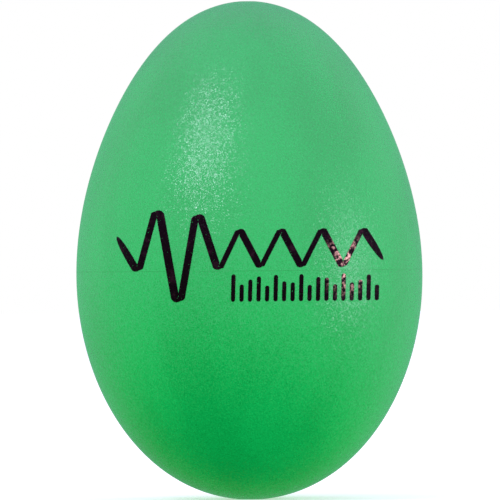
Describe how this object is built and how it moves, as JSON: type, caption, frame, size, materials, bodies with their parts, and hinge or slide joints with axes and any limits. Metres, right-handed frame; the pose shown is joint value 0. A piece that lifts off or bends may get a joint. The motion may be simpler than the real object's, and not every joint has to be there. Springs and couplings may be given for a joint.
{
  "type": "egg shaker",
  "caption": "Egg-shaped hand percussion shaker: two welded plastic half shells with loose steel shot inside.",
  "frame": {"origin": "middle of the small moulding flat at the blunt end, on which the egg stands", "axes": "+Z along the egg axis towards the pointed end; the foil print faces -Y; +X is to the right of the print"},
  "size_m": [0.0424, 0.0424, 0.061],
  "materials": {
    "shell_plastic": "satin green with a fine spark texture",
    "foil_print": "hot-stamped black foil with a purple cast",
    "shot_steel": "plain rolled steel shot"
  },
  "bodies": {
    "egg": {"blunt_shell": "shell_plastic", "pointed_shell": "shell_plastic"},
    "shot_01": {"shot_01": "shot_steel"},
    "shot_02": {"shot_02": "shot_steel"},
    "shot_03": {"shot_03": "shot_steel"},
    "shot_04": {"shot_04": "shot_steel"},
    "shot_05": {"shot_05": "shot_steel"},
    "shot_06": {"shot_06": "shot_steel"},
    "shot_07": {"shot_07": "shot_steel"},
    "shot_08": {"shot_08": "shot_steel"},
    "shot_09": {"shot_09": "shot_steel"},
    "shot_10": {"shot_10": "shot_steel"},
    "shot_11": {"shot_11": "shot_steel"},
    "shot_12": {"shot_12": "shot_steel"},
    "shot_13": {"shot_13": "shot_steel"},
    "shot_14": {"shot_14": "shot_steel"},
    "shot_15": {"shot_15": "shot_steel"},
    "shot_16": {"shot_16": "shot_steel"},
    "shot_17": {"shot_17": "shot_steel"},
    "shot_18": {"shot_18": "shot_steel"},
    "shot_19": {"shot_19": "shot_steel"},
    "shot_20": {"shot_20": "shot_steel"},
    "shot_21": {"shot_21": "shot_steel"},
    "shot_22": {"shot_22": "shot_steel"},
    "shot_23": {"shot_23": "shot_steel"},
    "shot_24": {"shot_24": "shot_steel"},
    "shot_25": {"shot_25": "shot_steel"},
    "shot_26": {"shot_26": "shot_steel"},
    "shot_27": {"shot_27": "shot_steel"},
    "shot_28": {"shot_28": "shot_steel"},
    "shot_29": {"shot_29": "shot_steel"},
    "shot_30": {"shot_30": "shot_steel"},
    "shot_31": {"shot_31": "shot_steel"},
    "shot_32": {"shot_32": "shot_steel"},
    "shot_33": {"shot_33": "shot_steel"},
    "shot_34": {"shot_34": "shot_steel"},
    "shot_35": {"shot_35": "shot_steel"},
    "shot_36": {"shot_36": "shot_steel"},
    "shot_37": {"shot_37": "shot_steel"},
    "shot_38": {"shot_38": "shot_steel"},
    "shot_39": {"shot_39": "shot_steel"},
    "shot_40": {"shot_40": "shot_steel"},
    "shot_41": {"shot_41": "shot_steel"},
    "shot_42": {"shot_42": "shot_steel"},
    "shot_43": {"shot_43": "shot_steel"},
    "shot_44": {"shot_44": "shot_steel"},
    "shot_45": {"shot_45": "shot_steel"},
    "shot_46": {"shot_46": "shot_steel"},
    "shot_47": {"shot_47": "shot_steel"},
    "shot_48": {"shot_48": "shot_steel"},
    "shot_49": {"shot_49": "shot_steel"},
    "shot_50": {"shot_50": "shot_steel"},
    "shot_51": {"shot_51": "shot_steel"},
    "shot_52": {"shot_52": "shot_steel"},
    "shot_53": {"shot_53": "shot_steel"},
    "shot_54": {"shot_54": "shot_steel"},
    "shot_55": {"shot_55": "shot_steel"},
    "shot_56": {"shot_56": "shot_steel"}
  },
  "joints": [
    {"name": "shot_throw", "type": "slide", "parent": "egg", "child": "shot_15", "axis": [0, 0, 1], "range_m": [0, 0.04132]},
    {"name": "shot_01_throw", "type": "slide", "parent": "egg", "child": "shot_01", "axis": [0, 0, 1], "range_m": [0, 0.04104]},
    {"name": "shot_02_throw", "type": "slide", "parent": "egg", "child": "shot_02", "axis": [0, 0, 1], "range_m": [0, 0.04104]},
    {"name": "shot_03_throw", "type": "slide", "parent": "egg", "child": "shot_03", "axis": [0, 0, 1], "range_m": [0, 0.04104]},
    {"name": "shot_04_throw", "type": "slide", "parent": "egg", "child": "shot_04", "axis": [0, 0, 1], "range_m": [0, 0.03902]},
    {"name": "shot_05_throw", "type": "slide", "parent": "egg", "child": "shot_05", "axis": [0, 0, 1], "range_m": [0, 0.04024]},
    {"name": "shot_06_throw", "type": "slide", "parent": "egg", "child": "shot_06", "axis": [0, 0, 1], "range_m": [0, 0.04104]},
    {"name": "shot_07_throw", "type": "slide", "parent": "egg", "child": "shot_07", "axis": [0, 0, 1], "range_m": [0, 0.04085]},
    {"name": "shot_08_throw", "type": "slide", "parent": "egg", "child": "shot_08", "axis": [0, 0, 1], "range_m": [0, 0.04104]},
    {"name": "shot_09_throw", "type": "slide", "parent": "egg", "child": "shot_09", "axis": [0, 0, 1], "range_m": [0, 0.03936]},
    {"name": "shot_10_throw", "type": "slide", "parent": "egg", "child": "shot_10", "axis": [0, 0, 1], "range_m": [0, 0.04085]},
    {"name": "shot_11_throw", "type": "slide", "parent": "egg", "child": "shot_11", "axis": [0, 0, 1], "range_m": [0, 0.04084]},
    {"name": "shot_12_throw", "type": "slide", "parent": "egg", "child": "shot_12", "axis": [0, 0, 1], "range_m": [0, 0.04097]},
    {"name": "shot_13_throw", "type": "slide", "parent": "egg", "child": "shot_13", "axis": [0, 0, 1], "range_m": [0, 0.03338]},
    {"name": "shot_14_throw", "type": "slide", "parent": "egg", "child": "shot_14", "axis": [0, 0, 1], "range_m": [0, 0.03902]},
    {"name": "shot_16_throw", "type": "slide", "parent": "egg", "child": "shot_16", "axis": [0, 0, 1], "range_m": [0, 0.0353]},
    {"name": "shot_17_throw", "type": "slide", "parent": "egg", "child": "shot_17", "axis": [0, 0, 1], "range_m": [0, 0.04104]},
    {"name": "shot_18_throw", "type": "slide", "parent": "egg", "child": "shot_18", "axis": [0, 0, 1], "range_m": [0, 0.03551]},
    {"name": "shot_19_throw", "type": "slide", "parent": "egg", "child": "shot_19", "axis": [0, 0, 1], "range_m": [0, 0.03568]},
    {"name": "shot_20_throw", "type": "slide", "parent": "egg", "child": "shot_20", "axis": [0, 0, 1], "range_m": [0, 0.03593]},
    {"name": "shot_21_throw", "type": "slide", "parent": "egg", "child": "shot_21", "axis": [0, 0, 1], "range_m": [0, 0.0369]},
    {"name": "shot_22_throw", "type": "slide", "parent": "egg", "child": "shot_22", "axis": [0, 0, 1], "range_m": [0, 0.03593]},
    {"name": "shot_23_throw", "type": "slide", "parent": "egg", "child": "shot_23", "axis": [0, 0, 1], "range_m": [0, 0.03902]},
    {"name": "shot_24_throw", "type": "slide", "parent": "egg", "child": "shot_24", "axis": [0, 0, 1], "range_m": [0, 0.03869]},
    {"name": "shot_25_throw", "type": "slide", "parent": "egg", "child": "shot_25", "axis": [0, 0, 1], "range_m": [0, 0.03951]},
    {"name": "shot_26_throw", "type": "slide", "parent": "egg", "child": "shot_26", "axis": [0, 0, 1], "range_m": [0, 0.03883]},
    {"name": "shot_27_throw", "type": "slide", "parent": "egg", "child": "shot_27", "axis": [0, 0, 1], "range_m": [0, 0.03338]},
    {"name": "shot_28_throw", "type": "slide", "parent": "egg", "child": "shot_28", "axis": [0, 0, 1], "range_m": [0, 0.0369]},
    {"name": "shot_29_throw", "type": "slide", "parent": "egg", "child": "shot_29", "axis": [0, 0, 1], "range_m": [0, 0.04097]},
    {"name": "shot_30_throw", "type": "slide", "parent": "egg", "child": "shot_30", "axis": [0, 0, 1], "range_m": [0, 0.04084]},
    {"name": "shot_31_throw", "type": "slide", "parent": "egg", "child": "shot_31", "axis": [0, 0, 1], "range_m": [0, 0.0369]},
    {"name": "shot_32_throw", "type": "slide", "parent": "egg", "child": "shot_32", "axis": [0, 0, 1], "range_m": [0, 0.03338]},
    {"name": "shot_33_throw", "type": "slide", "parent": "egg", "child": "shot_33", "axis": [0, 0, 1], "range_m": [0, 0.03919]},
    {"name": "shot_34_throw", "type": "slide", "parent": "egg", "child": "shot_34", "axis": [0, 0, 1], "range_m": [0, 0.03902]},
    {"name": "shot_35_throw", "type": "slide", "parent": "egg", "child": "shot_35", "axis": [0, 0, 1], "range_m": [0, 0.0353]},
    {"name": "shot_36_throw", "type": "slide", "parent": "egg", "child": "shot_36", "axis": [0, 0, 1], "range_m": [0, 0.03568]},
    {"name": "shot_37_throw", "type": "slide", "parent": "egg", "child": "shot_37", "axis": [0, 0, 1], "range_m": [0, 0.03551]},
    {"name": "shot_38_throw", "type": "slide", "parent": "egg", "child": "shot_38", "axis": [0, 0, 1], "range_m": [0, 0.03593]},
    {"name": "shot_39_throw", "type": "slide", "parent": "egg", "child": "shot_39", "axis": [0, 0, 1], "range_m": [0, 0.03911]},
    {"name": "shot_40_throw", "type": "slide", "parent": "egg", "child": "shot_40", "axis": [0, 0, 1], "range_m": [0, 0.03551]},
    {"name": "shot_41_throw", "type": "slide", "parent": "egg", "child": "shot_41", "axis": [0, 0, 1], "range_m": [0, 0.03955]},
    {"name": "shot_42_throw", "type": "slide", "parent": "egg", "child": "shot_42", "axis": [0, 0, 1], "range_m": [0, 0.03338]},
    {"name": "shot_43_throw", "type": "slide", "parent": "egg", "child": "shot_43", "axis": [0, 0, 1], "range_m": [0, 0.0369]},
    {"name": "shot_44_throw", "type": "slide", "parent": "egg", "child": "shot_44", "axis": [0, 0, 1], "range_m": [0, 0.03593]},
    {"name": "shot_45_throw", "type": "slide", "parent": "egg", "child": "shot_45", "axis": [0, 0, 1], "range_m": [0, 0.03691]},
    {"name": "shot_46_throw", "type": "slide", "parent": "egg", "child": "shot_46", "axis": [0, 0, 1], "range_m": [0, 0.03338]},
    {"name": "shot_47_throw", "type": "slide", "parent": "egg", "child": "shot_47", "axis": [0, 0, 1], "range_m": [0, 0.03569]},
    {"name": "shot_48_throw", "type": "slide", "parent": "egg", "child": "shot_48", "axis": [0, 0, 1], "range_m": [0, 0.03338]},
    {"name": "shot_49_throw", "type": "slide", "parent": "egg", "child": "shot_49", "axis": [0, 0, 1], "range_m": [0, 0.03551]},
    {"name": "shot_50_throw", "type": "slide", "parent": "egg", "child": "shot_50", "axis": [0, 0, 1], "range_m": [0, 0.03551]},
    {"name": "shot_51_throw", "type": "slide", "parent": "egg", "child": "shot_51", "axis": [0, 0, 1], "range_m": [0, 0.03338]},
    {"name": "shot_52_throw", "type": "slide", "parent": "egg", "child": "shot_52", "axis": [0, 0, 1], "range_m": [0, 0.03338]},
    {"name": "shot_53_throw", "type": "slide", "parent": "egg", "child": "shot_53", "axis": [0, 0, 1], "range_m": [0, 0.03338]},
    {"name": "shot_54_throw", "type": "slide", "parent": "egg", "child": "shot_54", "axis": [0, 0, 1], "range_m": [0, 0.03338]},
    {"name": "shot_55_throw", "type": "slide", "parent": "egg", "child": "shot_55", "axis": [0, 0, 1], "range_m": [0, 0.03338]},
    {"name": "shot_56_throw", "type": "slide", "parent": "egg", "child": "shot_56", "axis": [0, 0, 1], "range_m": [0, 0.03338]}
  ],
  "couplings": [
    {"joint": "shot_01_throw", "follows": "shot_throw", "ratio": 0.99313},
    {"joint": "shot_02_throw", "follows": "shot_throw", "ratio": 0.99313},
    {"joint": "shot_03_throw", "follows": "shot_throw", "ratio": 0.99313},
    {"joint": "shot_04_throw", "follows": "shot_throw", "ratio": 0.94415},
    {"joint": "shot_05_throw", "follows": "shot_throw", "ratio": 0.9739},
    {"joint": "shot_06_throw", "follows": "shot_throw", "ratio": 0.99313},
    {"joint": "shot_07_throw", "follows": "shot_throw", "ratio": 0.9885},
    {"joint": "shot_08_throw", "follows": "shot_throw", "ratio": 0.99313},
    {"joint": "shot_09_throw", "follows": "shot_throw", "ratio": 0.95253},
    {"joint": "shot_10_throw", "follows": "shot_throw", "ratio": 0.9885},
    {"joint": "shot_11_throw", "follows": "shot_throw", "ratio": 0.98839},
    {"joint": "shot_12_throw", "follows": "shot_throw", "ratio": 0.99157},
    {"joint": "shot_13_throw", "follows": "shot_throw", "ratio": 0.80779},
    {"joint": "shot_14_throw", "follows": "shot_throw", "ratio": 0.94415},
    {"joint": "shot_16_throw", "follows": "shot_throw", "ratio": 0.85428},
    {"joint": "shot_17_throw", "follows": "shot_throw", "ratio": 0.99316},
    {"joint": "shot_18_throw", "follows": "shot_throw", "ratio": 0.85937},
    {"joint": "shot_19_throw", "follows": "shot_throw", "ratio": 0.86355},
    {"joint": "shot_20_throw", "follows": "shot_throw", "ratio": 0.86948},
    {"joint": "shot_21_throw", "follows": "shot_throw", "ratio": 0.89301},
    {"joint": "shot_22_throw", "follows": "shot_throw", "ratio": 0.86948},
    {"joint": "shot_23_throw", "follows": "shot_throw", "ratio": 0.94415},
    {"joint": "shot_24_throw", "follows": "shot_throw", "ratio": 0.93623},
    {"joint": "shot_25_throw", "follows": "shot_throw", "ratio": 0.9562},
    {"joint": "shot_26_throw", "follows": "shot_throw", "ratio": 0.93961},
    {"joint": "shot_27_throw", "follows": "shot_throw", "ratio": 0.80779},
    {"joint": "shot_28_throw", "follows": "shot_throw", "ratio": 0.89302},
    {"joint": "shot_29_throw", "follows": "shot_throw", "ratio": 0.99157},
    {"joint": "shot_30_throw", "follows": "shot_throw", "ratio": 0.98839},
    {"joint": "shot_31_throw", "follows": "shot_throw", "ratio": 0.89304},
    {"joint": "shot_32_throw", "follows": "shot_throw", "ratio": 0.80779},
    {"joint": "shot_33_throw", "follows": "shot_throw", "ratio": 0.94846},
    {"joint": "shot_34_throw", "follows": "shot_throw", "ratio": 0.94415},
    {"joint": "shot_35_throw", "follows": "shot_throw", "ratio": 0.85428},
    {"joint": "shot_36_throw", "follows": "shot_throw", "ratio": 0.86355},
    {"joint": "shot_37_throw", "follows": "shot_throw", "ratio": 0.85937},
    {"joint": "shot_38_throw", "follows": "shot_throw", "ratio": 0.86948},
    {"joint": "shot_39_throw", "follows": "shot_throw", "ratio": 0.94654},
    {"joint": "shot_40_throw", "follows": "shot_throw", "ratio": 0.85937},
    {"joint": "shot_41_throw", "follows": "shot_throw", "ratio": 0.95703},
    {"joint": "shot_42_throw", "follows": "shot_throw", "ratio": 0.80779},
    {"joint": "shot_43_throw", "follows": "shot_throw", "ratio": 0.89301},
    {"joint": "shot_44_throw", "follows": "shot_throw", "ratio": 0.86948},
    {"joint": "shot_45_throw", "follows": "shot_throw", "ratio": 0.89311},
    {"joint": "shot_46_throw", "follows": "shot_throw", "ratio": 0.80779},
    {"joint": "shot_47_throw", "follows": "shot_throw", "ratio": 0.86367},
    {"joint": "shot_48_throw", "follows": "shot_throw", "ratio": 0.80779},
    {"joint": "shot_49_throw", "follows": "shot_throw", "ratio": 0.85937},
    {"joint": "shot_50_throw", "follows": "shot_throw", "ratio": 0.85937},
    {"joint": "shot_51_throw", "follows": "shot_throw", "ratio": 0.80779},
    {"joint": "shot_52_throw", "follows": "shot_throw", "ratio": 0.80779},
    {"joint": "shot_53_throw", "follows": "shot_throw", "ratio": 0.80779},
    {"joint": "shot_54_throw", "follows": "shot_throw", "ratio": 0.80779},
    {"joint": "shot_55_throw", "follows": "shot_throw", "ratio": 0.80779},
    {"joint": "shot_56_throw", "follows": "shot_throw", "ratio": 0.80787}
  ]
}
